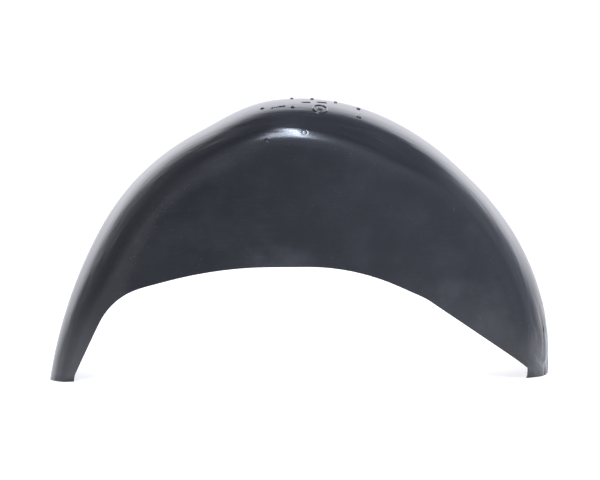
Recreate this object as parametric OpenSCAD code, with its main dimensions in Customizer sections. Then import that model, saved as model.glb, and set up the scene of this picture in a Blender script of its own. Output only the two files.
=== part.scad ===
// Wheel arch liner: one thin plastic shell, formed in one piece over a mould.
// A flat sidewall faces the car's inner wing and a broad rounded shoulder turns it
// into the tread, which runs across the wheel to its trimmed outer edge.
// X runs along the car, with the front foot at -X. Y runs across it, from the
// sidewall to the outer edge. Z is up, and both feet end at Z = 0.

/* [Arch] */
// Radius of the plain arch around the wheel centre
arch_r = 341; // [325:1:375]
// Height of the wheel centre above the feet
hub_h = 56; // [45:1:65]
// Width of the liner across the wheel
liner_w = 205; // [170:1:240]
// Outward slope of the tread, which frees it from the mould, in degrees
draft = 1; // [0:0.25:3]
// Thickness of the sheet
wall = 2.5; // [2:0.1:3.5]

/* [Crown] */
// Rise of the crown over the plain arch, for the wheel's travel
crown_rise = 13.5; // [0:0.5:24]
// Arch angle where the crown starts to rise, from the front foot
crown_from = 67; // [60:1:70]
// Arch angle where the crown is at full height
crown_full = 84; // [76:1:87]
// Arch angle where the crown starts to fall
crown_hold = 88; // [88:1:100]
// Arch angle where the crown is back on the plain arch
crown_end = 132; // [115:1:140]

/* [Front foot] */
// How far the front foot flares out at the floor
front_flare = 36; // [25:1:50]
// Arch angle where the flare ends
flare_to = 37; // [28:1:46]

/* [Rear foot] */
// How far the rear foot swells out at the floor
rear_swell = 27; // [15:0.5:32]
// Arch angle where the swell starts
swell_from = 128; // [120:1:145]

/* [Shoulder] */
// Radius of the shoulder's upper bend, where it meets the tread
shoulder_r = 90; // [70:1:100]
// Radius of the shoulder's lower bend, where it leaves the flat sidewall
ridge_r = 40; // [25:1:50]
// Tilt of the slope between the two bends, away from the sidewall, in degrees
slope_tilt = 46; // [40:1:55]
// Length of that slope on the plain arch
slope_len = 10; // [0:1:15]
// Length that the crown adds to it
crown_slope = 22; // [0:1:35]
// Arch angle where the crown's slope starts to grow
slope_from = 66; // [55:1:75]
// Arch angle where the crown's slope is at full length
slope_full = 100; // [90:1:103]
// Arch angle where the crown's slope starts to shrink
slope_hold = 110; // [104:1:116]
// Arch angle where the plain slope is back
slope_end = 130; // [122:1:140]
// Size of the shoulder at the front foot, as a share of the plain one
foot_share = 0.55; // [0.4:0.05:0.65]

/* [Sidewall] */
// Sweep of the front panel, back from the flat sidewall, in degrees
front_sweep = 5; // [0:0.5:8]
// Distance of the sweep's bend line from the middle, at the floor
bend_x = 302; // [280:1:320]
// Lean of the bend line, towards the middle for each unit of height
bend_lean = 0.35; // [0.2:0.01:0.5]
// Softness of the bend
bend_soft = 18; // [8:1:30]

/* [Wheel cut-out] */
// Height of the level top of the cut-out
cut_h = 165; // [152:1:180]
// Distance of the level top's front end from the middle
cut_front = 121; // [100:1:135]
// Distance of the level top's rear end from the middle
cut_rear = 75; // [60:1:90]
// Radius at the front end of the level top
cut_front_r = 600; // [300:10:620]
// Radius at the rear end of the level top
cut_rear_r = 320; // [150:10:340]
// Distance of the front knee from the middle
knee_x = 275; // [262:1:288]
// Height of the front knee
knee_h = 125.5; // [112:0.5:132]
// Radius in the front knee
knee_r = 96; // [40:1:104]
// Distance of the rear kink from the middle
kink_x = 178.5; // [165:0.5:195]
// Height of the rear kink
kink_h = 118; // [105:1:125]
// Radius at the rear kink
kink_r = 25; // [10:1:40]
// Distance of the front foot's inner corner from the middle
front_toe = 333; // [325:1:340]
// Distance of the rear foot's inner corner from the middle
rear_toe = 330; // [322:1:336]
// Distance of the notch above the front foot from the middle
front_notch_x = 330; // [322:1:333]
// Height of the notch above the front foot
front_notch_h = 12; // [8:1:20]
// Distance of the notch above the rear foot from the middle
rear_notch_x = 326.5; // [315:0.5:330]
// Height of the notch above the rear foot
rear_notch_h = 16.5; // [10:0.5:24]

/* [Foot lips] */
// Height of the turned-in lip at the front foot's inner corner
front_lip_h = 8; // [4:0.5:12]
// Height of the turned-in lip at the rear foot's inner corner
rear_lip_h = 13; // [4:0.5:14]
// Depth of the lips
lip_in = 6; // [2:0.5:8]
// Length of the lips along each foot's end
lip_len = 34; // [20:1:45]

/* [Hidden] */
sheet_colour = "#2b2d31";

// Largest step between two sections along the arch, in degrees
arch_step = 3.2;
// Longest chord in a radius of the cut-out
arc_chord = 14;
// Spans of one section, from the cut-out's edge to the tread's outer edge
section_n = 20;
// Length and turn of the section that weigh as much as one span
span_len = 60;
span_turn = 7.5;
// Plain height under the end of a lip's taper
lip_base = 2;
// Angle of the lip's roll at its trimmed end
lip_roll = 60;

// Smooth step from 0 to 1
function ramp(x, from, full) =
    let (t = max(0, min(1, (x - from) / (full - from))))
    t * t * (3 - 2 * t);

// Share of the crown's form at an arch angle
function crown(a) = ramp(a, crown_from, crown_full) * (1 - ramp(a, crown_hold, crown_end));

// Share of the front foot's form at an arch angle
function front_foot(a) = pow(max(0, 1 - a / flare_to), 2);

// Share of the rear foot's form at an arch angle, which is an even slope with softened ends
function rear_foot(a) =
    let (t = max(0, (a - swell_from) / (180 - swell_from)))
    (t + ramp(t, 0, 1)) / 2;

// Radius of the tread's line, measured from the middle of the floor
function tread_r(a) =
    hub_h * sin(a) + sqrt(pow(hub_h * sin(a), 2) + pow(arch_r, 2) - pow(hub_h, 2))
    + crown_rise * crown(a)
    + front_flare * front_foot(a)
    + rear_swell * rear_foot(a);

// Size of the shoulder at an arch angle, as a share of the plain one
function size(a) = foot_share + (1 - foot_share) * ramp(a, 0, flare_to);

// Length of the shoulder's slope at an arch angle
function slope(a) =
    size(a) * slope_len
    + crown_slope * ramp(a, slope_from, slope_full) * (1 - ramp(a, slope_hold, slope_end));

// Drop of the shoulder below the tread, and its reach back from the sidewall
function drop(a) =
    size(a) * (ridge_r * sin(slope_tilt) + shoulder_r * (1 - sin(slope_tilt)))
    + slope(a) * cos(slope_tilt);
function reach(a) =
    size(a) * (ridge_r * (1 - cos(slope_tilt)) + shoulder_r * cos(slope_tilt))
    + slope(a) * sin(slope_tilt);

// Setback of the sidewall in front of the bend line, which is a soft bend
function setback(x, z) =
    let (d = bend_lean * z - bend_x - x)
    tan(front_sweep) * (d > bend_soft ? d : pow(max(0, d + bend_soft), 2) / (4 * bend_soft));

// Place of a point of the section, from its arch angle, radius and distance back
function place(a, r, y) =
    let (x = -r * cos(a), z = r * sin(a))
    [x, y + setback(x, z) * (1 - y / liner_w), z];

// Part and share of the way through it of a point of the section, by the weight before it
function part_at(weight, before) =
    let (k = max([for (k = [0 : 4]) if (before[k] <= weight) k]))
    [k, before[k + 1] > before[k] ? (weight - before[k]) / (before[k + 1] - before[k]) : 0];

// Section at an arch angle, from the cut-out's edge to the tread's outer edge. It has five
// parts: flat sidewall, lower bend, slope, upper bend and tread. Where the cut-out reaches
// into the shoulder, the parts below its edge are missing. Points crowd where it turns.
function section(a, edge_r) =
    let (
        top = tread_r(a),
        low_r = size(a) * ridge_r,
        high_r = size(a) * shoulder_r,
        foot = top - drop(a),
        back = reach(a),
        // What the cut-out's edge takes off the lower bend, the slope and the upper bend
        over = edge_r - foot,
        low_turn = asin(max(0, min(1, over / low_r))),
        low_from = min(slope_tilt, low_turn),
        slope_start = max(0, min(slope(a), (over - low_r * sin(slope_tilt)) / cos(slope_tilt))),
        high_from = max(slope_tilt, asin(max(0, 1 - (drop(a) - over) / high_r))),
        // Length and turn of each part, and the weight before each
        parts = [
            [max(0, -over), 0],
            [low_r * (slope_tilt - low_from) * PI / 180, slope_tilt - low_from],
            [slope(a) - slope_start, 0],
            [high_r * (90 - high_from) * PI / 180, 90 - high_from],
            [liner_w - back, 0]
        ],
        weights = [for (p = parts) p[0] / span_len + p[1] / span_turn],
        before = [for (k = 0, sum = 0; k <= 5; sum = sum + (k < 5 ? weights[k] : 0), k = k + 1) sum]
    )
    [for (i = [0 : section_n])
        let (
            at = part_at(before[5] * i / section_n, before),
            f = at[1],
            low = low_from + (slope_tilt - low_from) * f,
            along = slope_start + (slope(a) - slope_start) * f,
            high = high_from + (90 - high_from) * f,
            out = (liner_w - back) * f
        )
        at[0] == 0 ? place(a, edge_r - min(0, over) * f, 0)
        : at[0] == 1 ? place(a, foot + low_r * sin(low), low_r * (1 - cos(low)))
        : at[0] == 2 ? place(
            a,
            foot + low_r * sin(slope_tilt) + along * cos(slope_tilt),
            low_r * (1 - cos(slope_tilt)) + along * sin(slope_tilt)
        )
        : at[0] == 3 ? place(a, top - high_r * (1 - sin(high)), back - high_r * cos(high))
        : place(a, top + out * tan(draft), back + out)];

// Arc that rounds a corner between two neighbours, as a list of points
function rounded(before, corner, after, r) =
    let (
        u = (before - corner) / norm(before - corner),
        v = (after - corner) / norm(after - corner),
        half = acos(u * v) / 2,
        middle = (u + v) / norm(u + v),
        centre = corner + middle * r / sin(half),
        start = corner + u * r / tan(half) - centre,
        finish = corner + v * r / tan(half) - centre,
        turn = 180 - 2 * half,
        side = sign(start[0] * finish[1] - start[1] * finish[0]),
        n = max(1, ceil(r * turn * PI / 180 / arc_chord))
    )
    [for (i = [0 : n])
        let (t = side * turn * i / n)
        centre + [start[0] * cos(t) - start[1] * sin(t), start[0] * sin(t) + start[1] * cos(t)]];

// Edge of the sidewall around the wheel cut-out, as X and Z, from foot to foot
front_toe_pt = [-front_toe, 0];
knee_pt = [-knee_x, knee_h];
cut_front_pt = [-cut_front, cut_h];
cut_rear_pt = [cut_rear, cut_h];
kink_pt = [kink_x, kink_h];
front_notch_pt = [-front_notch_x, front_notch_h];
rear_notch_pt = [rear_notch_x, rear_notch_h];
rear_toe_pt = [rear_toe, 0];
edge = concat(
    [front_toe_pt, front_notch_pt],
    rounded(front_notch_pt, knee_pt, cut_front_pt, knee_r),
    rounded(knee_pt, cut_front_pt, cut_rear_pt, cut_front_r),
    rounded(cut_front_pt, cut_rear_pt, kink_pt, cut_rear_r),
    rounded(cut_rear_pt, kink_pt, rear_notch_pt, kink_r),
    [rear_notch_pt, rear_toe_pt]
);

// Arch angle of a point on that edge
function arch_angle(p) = atan2(p[1], -p[0]);

// Sections along the arch: the edge's own points, and more where the step is wide
stations = [
    for (i = [0 : len(edge) - 2])
        let (n = ceil((arch_angle(edge[i + 1]) - arch_angle(edge[i])) / arch_step))
        for (k = [0 : n - 1])
            edge[i] + (edge[i + 1] - edge[i]) * k / n
];

// Sections that stand clear of the lips
arch_rings = [
    for (p = stations)
        if (p[1] > lip_base + (p[0] < 0 ? front_lip_h : rear_lip_h))
            section(arch_angle(p), norm(p))
];

// Last section of a foot, at the floor
front_end = section(0, front_toe);
rear_end = section(180, rear_toe);

// Share of the lip's form at each point of a foot's last section
function lip_share(end) = [for (p = end) pow(max(0, 1 - norm(p - end[0]) / lip_len), 2)];

// Direction into the shell at each point of a foot's last section
function inward(end, side) = [
    for (i = [0 : section_n])
        let (d = end[min(i + 1, section_n)] - end[max(i - 1, 0)])
        side * [-d[1], d[0], 0] / norm([d[0], d[1]])
];

// Point at the height where a foot's lip starts, on the line to the ring above
function lip_start(end, above, i, h) =
    end[i] + (above[i] - end[i]) * h / above[i][2];

// Rings of a lip, from its trimmed end at the floor up to the plain wall
function lip_rings(end, above, lip_h, side) =
    let (share = lip_share(end), to_inside = inward(end, side))
    [for (roll = [lip_roll, lip_roll / 2, 0])
        [for (i = [0 : section_n])
            let (
                h = (lip_base + lip_h * share[i]) * (1 - sin(roll) / sin(lip_roll)),
                d = lip_in * share[i] * (1 - cos(roll)) / (1 - cos(lip_roll))
            )
            lip_start(end, above, i, h) + d * to_inside[i]]];

front_lip = lip_rings(front_end, arch_rings[0], front_lip_h, -1);
rear_lip = lip_rings(rear_end, arch_rings[len(arch_rings) - 1], rear_lip_h, 1);
outer = concat(front_lip, arch_rings, [for (i = [2 : -1 : 0]) rear_lip[i]]);
last = len(outer) - 1;

// Outward normal of the outer skin at a ring and a point, level with a trimmed end
function skin_normal(k, i) =
    let (
        along = outer[min(k + 1, last)][i] - outer[max(k - 1, 0)][i],
        across = outer[k][min(i + 1, section_n)] - outer[k][max(i - 1, 0)],
        n = cross(along, across),
        flat_z = (k == 0 || k == last) ? 0 : 1,
        flat_y = i == section_n ? 0 : 1,
        m = [n[0], n[1] * flat_y, n[2] * flat_z]
    )
    m / norm(m);

// Inner skin, one sheet thickness inside the outer one
inner = [
    for (k = [0 : last])
        [for (i = [0 : section_n]) outer[k][i] - wall * skin_normal(k, i)]
];

// Middle of the liner's length, from the outline's two ends
outline_x = [for (ring = outer) for (p = ring) p[0]];
mid_x = (min(outline_x) + max(outline_x)) / 2;

// Faces of the sheet: both skins, the cut-out and outer edges, and the two feet
ring_n = section_n + 1;
skin_n = ring_n * (last + 1);
function quad(a, b, c, d) = [[a, b, c], [a, c, d]];
sheet_faces = concat(
    [for (k = [0 : last - 1]) for (i = [0 : section_n - 1])
        let (a = k * ring_n + i, b = a + ring_n)
        each quad(a, a + 1, b + 1, b)],
    [for (k = [0 : last - 1]) for (i = [0 : section_n - 1])
        let (a = skin_n + k * ring_n + i, b = a + ring_n)
        each quad(a, b, b + 1, a + 1)],
    [for (k = [0 : last - 1])
        let (a = k * ring_n, b = a + ring_n)
        each quad(a, b, b + skin_n, a + skin_n)],
    [for (k = [0 : last - 1])
        let (a = k * ring_n + section_n, b = a + ring_n)
        each quad(a, a + skin_n, b + skin_n, b)],
    [for (i = [0 : section_n - 1])
        each quad(i, i + skin_n, i + 1 + skin_n, i + 1)],
    [for (i = [0 : section_n - 1])
        let (a = last * ring_n + i)
        each quad(a, a + 1, a + 1 + skin_n, a + skin_n)]
);

// The whole liner, centred on its length and width
module liner() {
    color(sheet_colour)
        translate([-mid_x, -liner_w / 2, 0])
            polyhedron(
                points = concat([for (ring = outer) each ring], [for (ring = inner) each ring]),
                faces = sheet_faces,
                convexity = 6
            );
}

liner();
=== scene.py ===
"""A wheel arch liner: one black plastic shell, vacuum formed over a mould and trimmed to outline."""

from collections import namedtuple
from math import cos, hypot, pi, radians, sin

import bpy
from mathutils import Matrix, Vector, noise


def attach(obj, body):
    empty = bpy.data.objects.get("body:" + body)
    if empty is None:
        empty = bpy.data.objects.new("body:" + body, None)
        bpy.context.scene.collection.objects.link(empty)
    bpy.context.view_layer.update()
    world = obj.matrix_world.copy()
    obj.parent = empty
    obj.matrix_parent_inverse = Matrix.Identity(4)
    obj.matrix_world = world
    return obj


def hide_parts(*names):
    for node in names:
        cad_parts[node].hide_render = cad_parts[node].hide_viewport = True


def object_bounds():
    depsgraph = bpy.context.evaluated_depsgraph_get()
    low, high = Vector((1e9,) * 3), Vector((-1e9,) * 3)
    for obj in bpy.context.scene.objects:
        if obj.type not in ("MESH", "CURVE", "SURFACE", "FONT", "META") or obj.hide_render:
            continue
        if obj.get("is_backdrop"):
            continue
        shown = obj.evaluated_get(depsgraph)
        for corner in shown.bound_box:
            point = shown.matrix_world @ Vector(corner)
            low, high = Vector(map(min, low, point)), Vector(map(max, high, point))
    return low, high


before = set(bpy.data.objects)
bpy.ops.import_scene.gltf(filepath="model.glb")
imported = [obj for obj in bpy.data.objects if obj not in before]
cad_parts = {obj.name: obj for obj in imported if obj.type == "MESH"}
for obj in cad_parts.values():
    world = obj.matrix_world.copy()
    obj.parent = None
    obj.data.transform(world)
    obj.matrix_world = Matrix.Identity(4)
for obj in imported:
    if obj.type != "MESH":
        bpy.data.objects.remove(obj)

cad_low, cad_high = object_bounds()

# Camera. A long lens stands well back from the arch, square to its sidewall and a little above it,
# so the tread shows only as a thin bright band. The camera was held a touch out of level.
camera_distance = 2.8
camera_above = radians(3)
camera_tilt = radians(-0.449)
aim = Vector((0.0011, -0.0425, 0.2009))
sensor_width = 36.0
view_width = 0.882
view_depth = 60

camera = bpy.data.objects.new("camera", bpy.data.cameras.new("camera"))
bpy.context.scene.collection.objects.link(camera)
camera.location = aim + camera_distance * Vector((0, -cos(camera_above), sin(camera_above)))
upright = Matrix.Rotation(pi / 2 - camera_above, 4, "X")
camera.rotation_euler = (upright @ Matrix.Rotation(camera_tilt, 4, "Z")).to_euler()
camera.data.sensor_width = sensor_width
camera.data.lens = sensor_width * camera_distance / view_width
camera.data.clip_end = view_depth
bpy.context.scene.camera = camera
bpy.context.scene.view_settings.view_transform = "Standard"


# Studio. A pale table, and a white room that is brightest high behind the part, dark overhead and
# darkest where the camera stands. A long lamp overhead, end on to the part, makes the glint on its
# crown, and a weak lamp beside it draws the glint out to the front.
class Wire:
    """A socket in a node tree. Sums and products of wires add the Math nodes they need."""

    def __init__(self, tree, socket=None):
        self.tree = tree
        self.socket = socket

    def node(self, kind, settings={}, inputs={}, output=0):
        """Adds a node, sets it up, feeds its inputs with values or wires, and returns an output."""
        made = self.tree.nodes.new(kind)
        for name, value in settings.items():
            setattr(made, name, value)
        for name, value in inputs.items():
            if isinstance(value, Wire):
                self.tree.links.new(value.socket, made.inputs[name])
            else:
                made.inputs[name].default_value = value
        return Wire(self.tree, made.outputs[output]) if made.outputs else None

    def maths(self, operation, first, second):
        return self.node("ShaderNodeMath", {"operation": operation}, {0: first, 1: second})

    def __add__(self, other):
        return self.maths("ADD", self, other)

    def __sub__(self, other):
        return self.maths("SUBTRACT", self, other)

    def __rsub__(self, other):
        return self.maths("SUBTRACT", other, self)

    def __mul__(self, other):
        return self.maths("MULTIPLY", self, other)

    __radd__ = __add__
    __rmul__ = __mul__

    def rise(self, start, end):
        """0 up to start, 1 from end on, and a smooth rise between them."""
        return self.node(
            "ShaderNodeMapRange",
            {"interpolation_type": "SMOOTHSTEP"},
            {"Value": self, "From Min": start, "From Max": end},
        )

    def axis(self, letter):
        """One of the three numbers of a vector."""
        return self.node("ShaderNodeSeparateXYZ", {}, {0: self}, letter)

    def vector(self, x, y, z):
        """A vector of three numbers or wires."""
        return self.node("ShaderNodeCombineXYZ", {}, {0: x, 1: y, 2: z})

    def mixed(self, share, first, second):
        """A blend of two colours."""
        return self.node(
            "ShaderNodeMix", {"data_type": "RGBA"}, {0: share, 6: first, 7: second}, 2
        )


table_side = 30.0
table_front = -1.0
table_grey = (0.6, 0.6, 0.6, 1)
table_glow = 0.5
white = (1, 1, 1, 1)
front_tint = (0.90, 1.0, 1.20, 1)
side_tint = (0.98, 1.0, 1.05, 1)
rear_tint = (0.985, 0.985, 1.06, 1)
room_light = 0.88
ceiling_light = 0.12
crest_light = 4.4
rear_light = 1.7
backdrop_light = 1.2
wall_shade = 0.1
side_shade = 0.12
high_side_shade = 0.6
side_narrowing = 0.07
camera_side = (-0.09, -0.996, -0.01)

bpy.ops.object.select_all(action="DESELECT")
bpy.ops.mesh.primitive_plane_add(size=table_side, location=(0, table_front + table_side / 2, 0))
table = bpy.context.object
table.name = "table"
acrylic = bpy.data.materials.new("table_acrylic")
acrylic.use_nodes = True
top = acrylic.node_tree.nodes["Principled BSDF"]
top.inputs["Base Color"].default_value = table_grey
top.inputs["Roughness"].default_value = 1
top.inputs["Specular IOR Level"].default_value = 0
top.inputs["Emission Color"].default_value = white
top.inputs["Emission Strength"].default_value = table_glow
table.data.materials.append(acrylic)
table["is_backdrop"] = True

world = bpy.data.worlds.new("studio")
bpy.context.scene.world = world
world.use_nodes = True
world.node_tree.nodes.clear()
room = Wire(world.node_tree)
direction = room.node("ShaderNodeTexCoord", output="Generated")
sideward, rearward, upward = (direction.axis(letter) for letter in "XYZ")
leftward = 0 - sideward
forward = 0 - rearward
toward_camera = room.node(
    "ShaderNodeVectorMath", {"operation": "DOT_PRODUCT"}, {0: direction, 1: camera_side}, "Value"
)

# The half of the room before the part: its wall and ceiling, then the left side and the camera.
before = room_light * (1 - wall_shade * forward.rise(0.80, 0.97)) * (1 - upward.rise(0.55, 1.05))
before = before + ceiling_light * upward.rise(0.35, 0.75)
before = before * (1 - side_shade * leftward.rise(0.08, 0.14))
before = before * (1 - high_side_shade * leftward.rise(0.08, 0.55) * upward.rise(0.05, 0.3))
before = before * (1 - toward_camera.rise(0.9905, 0.9998))

# The half behind it: a bright crest, half as bright at the horizon and dimmer on the rear wall.
crest = crest_light * (0.5 + 0.5 * upward.rise(0.1, 0.38))
crest = crest - rearward.rise(0.6, 1.0) * (crest - rear_light)
behind = (rearward - side_narrowing * leftward.rise(0.35, 0.8)).rise(0.12, 0.47)

# The camera itself sees a plain white backdrop.
glow = before + behind * (crest - before)
tint = room.mixed(leftward.rise(0.08, 0.2), front_tint, side_tint)
tint = room.mixed(behind, tint, rear_tint)
lit = room.node("ShaderNodeBackground", {}, {"Color": tint, "Strength": glow})
plain = room.node("ShaderNodeBackground", {}, {"Color": white, "Strength": backdrop_light})
seen = room.node("ShaderNodeLightPath", output="Is Camera Ray")
both = room.node("ShaderNodeMixShader", {}, {0: seen, 1: lit, 2: plain})
room.node("ShaderNodeOutputWorld", {}, {"Surface": both})

# Lamps by how far aside they hang, their height seen from the part, their two sides and power.
lamp_target = Vector((0, -0.06, 0.35))
lamp_reach = 2.6
for name, aside, above, wide, long, power in (
    ("crown_lamp", 0.08, radians(62), 0.20, 1.8, 48),
    ("side_lamp", -0.26, radians(50), 0.40, 0.9, 11),
):
    lamp = bpy.data.objects.new(name, bpy.data.lights.new(name, "AREA"))
    bpy.context.scene.collection.objects.link(lamp)
    lamp.data.shape = "RECTANGLE"
    lamp.data.size = wide
    lamp.data.size_y = long
    lamp.data.energy = power
    lamp.data.color = front_tint[:3]
    lamp.location = lamp_target + Vector((aside, -cos(above) * lamp_reach, sin(above) * lamp_reach))
    lamp.rotation_euler = (lamp_target - lamp.location).to_track_quat("-Z", "Y").to_euler()

# Liner sheet. The whole part is one sheet of black plastic, 2.5 mm thick, heated, drawn over a
# mould and sawn out along a scribed line, so its faces flow and only its cut edges are crisp.
mm = 0.001
sharp = radians(50)
merge_gap = 0.01 * mm
edge_break = 0.3 * mm

cad_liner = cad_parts["liner"]
sheet = bpy.data.objects.new("liner_sheet", cad_liner.data.copy())
bpy.context.scene.collection.objects.link(sheet)
bpy.ops.object.select_all(action="DESELECT")
sheet.select_set(True)
bpy.context.view_layer.objects.active = sheet
bpy.ops.object.mode_set(mode="EDIT")
bpy.ops.mesh.select_all(action="SELECT")
bpy.ops.mesh.remove_doubles(threshold=merge_gap)
bpy.ops.mesh.tris_convert_to_quads()
bpy.ops.mesh.select_mode(type="EDGE")
bpy.ops.mesh.select_all(action="DESELECT")
bpy.ops.mesh.edges_select_sharp(sharpness=sharp)
bpy.ops.transform.edge_crease(value=1)
bpy.ops.object.mode_set(mode="OBJECT")

# The cut edge is a strip of faces with a sharp edge on two sides.
FACE, CUT = 0, 1
crisp = {edge.key for edge in sheet.data.edges if edge.select}
for face in sheet.data.polygons:
    face.material_index = CUT if sum(key in crisp for key in face.edge_keys) > 1 else FACE

flow = sheet.modifiers.new("flow", "SUBSURF")
flow.levels = flow.render_levels = 2
bpy.ops.object.modifier_apply(modifier=flow.name)
broken = sheet.modifiers.new("broken", "BEVEL")
broken.width = edge_break
broken.segments = 2
broken.limit_method = "ANGLE"
broken.angle_limit = sharp
bpy.ops.object.modifier_apply(modifier=broken.name)

# The cooled sheet has wandered a little inwards from the mould's true form, both skins alike, and
# the front half of the sidewall leans back a few degrees before it reaches the bend. The rear foot
# is puckered where the sheet gathered round the mould's corner.
sheet_half, sheet_depth, sheet_height = cad_high.x, cad_high.y - cad_low.y, cad_high.z
hub_height = 56 * mm
wander = 0.6 * mm
wander_length = 85 * mm
wander_offset = 9
lean_slope = 0.075
lean_foot = 262 * mm
lean_soft = 10 * mm
lean_width = 50 * mm
lean_fade = 100 * mm
pucker_depth = 2 * mm
pucker_width = 15 * mm
pucker_start = 325 * mm
pucker_fade = 30 * mm
pucker_height = 140 * mm
pucker_slant = 0.34
pucker_stretch = 0.25


def held(value):
    """The value, held between 0 and 1."""
    return min(1, max(0, value))


for vertex in sheet.data.vertices:
    x, y, z = vertex.co
    spots = [vertex.co / wander_length + Vector((0, 0, wander_offset * k)) for k in range(3)]
    shares = [0.5 + 0.5 * noise.noise(spot) for spot in spots]
    past_foot = max(0, hypot(x, z - hub_height) - lean_foot)
    lean = held(-x / lean_fade) * lean_slope
    lean *= min(lean_width, past_foot ** 2 / (past_foot + lean_soft))
    spot = Vector((x + pucker_slant * z, y, pucker_stretch * z)) / pucker_width
    pucker = held((x - pucker_start) / pucker_fade) * held(1 - z / pucker_height)
    pucker *= pucker_depth * max(0, 1 - 4 * abs(noise.noise(spot))) ** 2
    vertex.co -= Vector((
        (wander * shares[0] + pucker) * x / sheet_half,
        (wander * shares[1] + lean) * (y - cad_high.y) / sheet_depth,
        wander * shares[2] * z / sheet_height,
    ))

# Moulding marks. Vents and stops in the mould pressed pips, plain bars and a ring into the soft
# sheet along the crown, two smaller rings into the bend below and a groove into the rear foot.
# Each mark shows on both skins. Their places and sizes are in millimetres.
soft_edge = 1.2
mark_reach = 6.0
mark_cuts = 5
Mark = namedtuple("Mark", "start finish normal ring half high")
marks = []


def add_mark(start, finish, ring, half, high):
    """Keeps a bar, a pip or a ring, which is moved onto the sheet."""
    start_on_sheet = sheet.closest_point_on_mesh(Vector(start) * mm)[1]
    finish_on_sheet, normal = sheet.closest_point_on_mesh(Vector(finish) * mm)[1:3]
    marks.append(Mark(start_on_sheet / mm, finish_on_sheet / mm, normal.copy(), ring, half, high))


# Bars by their two ends, half width and height.
for start, finish, half, high in (
    ((-38, -57, 395.5), (-20, -54, 398.5), 1.2, 1.4),
    ((6, -42.6, 403.2), (17, -41, 403), 1.0, 1.0),
    ((28, -37, 403.2), (41, -35.5, 402.3), 1.0, 1.0),
    ((357.2, -61.6, 71), (357.4, -61.6, 64), 0.9, -1.2),
):
    add_mark(start, finish, 0, half, high)

# Pips and rings by their middle, the ring's radius, half the line's width and height.
for middle, ring, half, high in (
    ((-52.8, -53.2, 395.5), 0, 2.6, 1.6),
    ((-9.5, -20, 409.6), 0, 2.4, 1.6),
    ((20.5, -22, 408), 0, 2.6, 1.8),
    ((55.1, -24, 403.1), 0, 2.4, 1.6),
    ((88.7, -28.3, 393.3), 0, 3.0, 1.8),
    ((-8, -57, 397), 0, 2.6, 2.0),
    ((32, -56, 393.8), 0, 3.0, 1.5),
    ((32, -56, 393.8), 10, 1.1, 1.4),
    ((89, -54, 382), 0, 3.6, 1.4),
    ((-44.4, -101.1, 348.1), 2.6, 0.8, 0.6),
    ((9.5, -95.6, 358.6), 3.5, 0.7, -0.1),
):
    add_mark(middle, middle, ring, half, high)


def beside(mark, here):
    """Distance of a place from a mark's edge along the sheet, and its depth off the mark's plane."""
    run = mark.finish - mark.start
    share = (here - mark.start).dot(run) / run.length_squared if run.length > 0 else 0
    off = here - mark.start - run * held(share)
    deep = off.dot(mark.normal)
    return abs((off - mark.normal * deep).length - mark.ring) - mark.half, abs(deep)


def soft_step(value):
    """0 below 0, 1 above 1, smooth between."""
    step = held(value)
    return step * step * (3 - 2 * step)


# The faces round each mark are cut finer before the mark is pressed in.
for edge in sheet.data.edges:
    edge.select = False
for vertex in sheet.data.vertices:
    vertex.select = False
for face in sheet.data.polygons:
    here = face.center / mm
    face.select = any(max(beside(mark, here)) < mark_reach for mark in marks)
bpy.ops.object.mode_set(mode="EDIT")
bpy.ops.mesh.select_mode(type="FACE")
bpy.ops.mesh.subdivide(number_cuts=mark_cuts)
bpy.ops.mesh.vertices_smooth(factor=0.5, repeat=6)
bpy.ops.object.mode_set(mode="OBJECT")
for vertex in sheet.data.vertices:
    if vertex.select:
        here = vertex.co / mm
        for mark in marks:
            outside, deep = beside(mark, here)
            if outside < soft_edge and deep < mark_reach:
                vertex.co += mark.normal * mark.high * mm * soft_step(0.5 - outside / soft_edge)

bpy.ops.object.shade_smooth_by_angle(angle=sharp)
level = sheet.modifiers.new("level", "WEIGHTED_NORMAL")
level.keep_sharp = True
bpy.ops.object.modifier_apply(modifier=level.name)

# Face of the sheet. Black plastic, half glossy, with an orange peel where it was drawn tightest over
# the crown, fine lines along the arch, scuffs and specks on the sidewall, painted light on its front
# panel and by the cut-out, and both feet paler towards the bottom.
black = (0.0128, 0.0130, 0.0160, 1)
# This grey carries the scuffs and mottle, and also the painted light of two pale patches by the
# cut-out.
wear_and_sheen = (0.042, 0.043, 0.048, 1)
# This pale grey serves the specks and the paler feet, and the painted light on the sidewall's front
# panel.
dust_and_sheen = (0.13, 0.13, 0.135, 1)
gloss = 0.16
peel_depth = 0.01 * mm
crown_peel_depth = 0.03 * mm
line_depth = 0.4 * mm
pit_depth = 0.1 * mm
crease_depth = 0.08 * mm
bend_start = cad_low.y + 1.5 * mm
bend_end = cad_low.y + 8.5 * mm


def new_finish(name):
    """A named material, a wire into its node tree, and its shader."""
    made = bpy.data.materials.new(name)
    made.use_nodes = True
    return made, Wire(made.node_tree), made.node_tree.nodes["Principled BSDF"]


def grain(place, scale, detail=2.0):
    """Soft noise between 0 and 1, with features about 1 / scale wide."""
    return place.node(
        "ShaderNodeTexNoise", {}, {"Vector": place, "Scale": scale, "Detail": detail}
    )


def connect(wire, socket):
    wire.tree.links.new(wire.socket, socket)


plastic, finish, skin = new_finish("liner_plastic")
place = finish.node("ShaderNodeTexCoord", output="Object")
x, y, z = (place.axis(letter) for letter in "XYZ")
to_front = 0 - x
flat = 1 - y.rise(bend_start, bend_end)
turn = finish.maths("ARCTAN2", x, z - hub_height)
radius = finish.node(
    "ShaderNodeVectorMath", {"operation": "LENGTH"}, {0: finish.vector(x, 0.0, z - hub_height)}, "Value"
)

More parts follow.
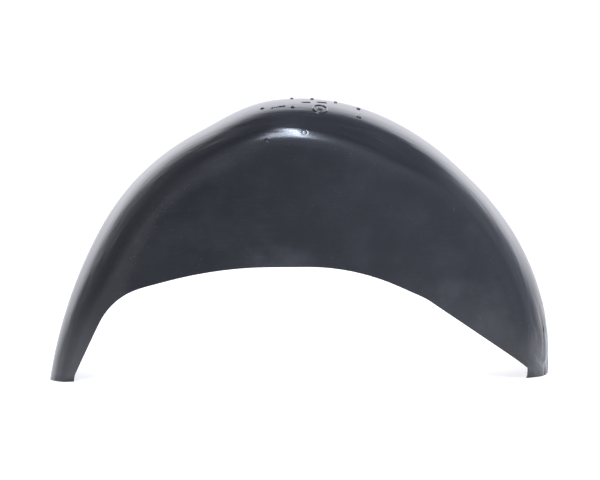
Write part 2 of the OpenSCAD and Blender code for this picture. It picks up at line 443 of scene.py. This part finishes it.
# Noise all over the sheet: even, drawn out level, or running along or across the arch.
mottle = grain(place, 9.0, 3.0)
cloud = grain(place, 24.0, 5.0).rise(0.35, 0.75) * flat
scuffs = grain(finish.vector(x * 30, y * 30, z * 380), 1.0, 3.0).rise(0.45, 0.75) * flat
scuffs = scuffs * mottle.rise(0.4, 0.6)
lines = grain(finish.vector(radius * 120, y * 80, turn * 5), 1.0, 3.0)
creases = grain(finish.vector(turn * 170, radius * 20, 0.0), 1.0)
specks = grain(place, 420.0, 0.0).rise(0.78, 0.82) * flat
peel = grain(place, 300.0, 1.0)


def patch(across, up, wide, tall):
    """A soft round patch seen from the side, 1 in its middle."""
    left, lift = (x - across) * (1 / wide), (z - up) * (1 / tall)
    return 1 - (left * left + lift * lift).rise(0.0, 1.0)


# What only some places have: peel on the crown, pits in the front bend, creases beside the glint,
# both feet paler towards the bottom, painted light on the front of the sidewall, and two patches of
# painted light by the cut-out.
crown_peel = patch(0.0, 0.36, 0.09, 0.035)
pitted = patch(-0.286, 0.2, 0.04, 0.06) * grain(place, 420.0, 2.0)
creased = patch(-0.045, 0.343, 0.035, 0.03) * creases
# Both feet are paler and duller towards the bottom.
front_foot_paling = to_front.rise(0.27, 0.35) * (1 - z.rise(0.0, 0.19))
# Painted light: the front panel of the sidewall faces a little differently, so it is painted a touch
# paler.
painted_panel_light = to_front.rise(0.2, 0.3) * flat
rear_foot_paling = x.rise(0.31, 0.36) * (1 - z.rise(0.0, 0.11))
paler_feet = (front_foot_paling + rear_foot_paling) * (0.4 + 0.5 * grain(place, 26.0, 3.0)) * z.rise(0.0, 0.012)
# Painted light: two paler patches by the cut-out stand for the light the low sidewall takes from the
# floor.
painted_pale_patches = (patch(-0.044, 0.169, 0.085, 0.035) + patch(0.235, 0.106, 0.09, 0.05)) * flat

colour = finish.mixed(0.12 * scuffs + 0.2 * cloud + 0.4 * painted_pale_patches * (0.3 + cloud), black, wear_and_sheen)
colour = finish.mixed(0.2 * specks + 0.45 * paler_feet + 0.04 * painted_panel_light, colour, dust_and_sheen)
connect(colour, skin.inputs["Base Color"])
connect(gloss + 0.05 * mottle + 0.02 * scuffs + 0.06 * paler_feet, skin.inputs["Roughness"])
relief = (peel_depth + crown_peel_depth * crown_peel) * peel + line_depth * (1 - flat) * lines
relief = relief + pit_depth * pitted + crease_depth * creased
bump = finish.node("ShaderNodeBump", {}, {"Distance": 1.0, "Height": relief})
connect(bump, skin.inputs["Normal"])

# Cut edge of the sheet. Sawn and left as sawn, so it is dull and a little greyer than the face.
# The saw's teeth left a fine roughness.
sawn_grey = (0.020, 0.020, 0.022, 1)
sawn_roughness = 0.55
tooth_depth = 0.05 * mm

sawn, cut, kerf = new_finish("liner_sawn_edge")
kerf.inputs["Base Color"].default_value = sawn_grey
kerf.inputs["Roughness"].default_value = sawn_roughness
teeth = grain(cut.node("ShaderNodeTexCoord", output="Object"), 900.0)
rough = cut.node("ShaderNodeBump", {}, {"Distance": 1.0, "Height": tooth_depth * teeth})
connect(rough, kerf.inputs["Normal"])

sheet.data.materials.clear()
sheet.data.materials.append(plastic)
sheet.data.materials.append(sawn)

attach(sheet, "root")
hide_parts("liner")

low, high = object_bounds()
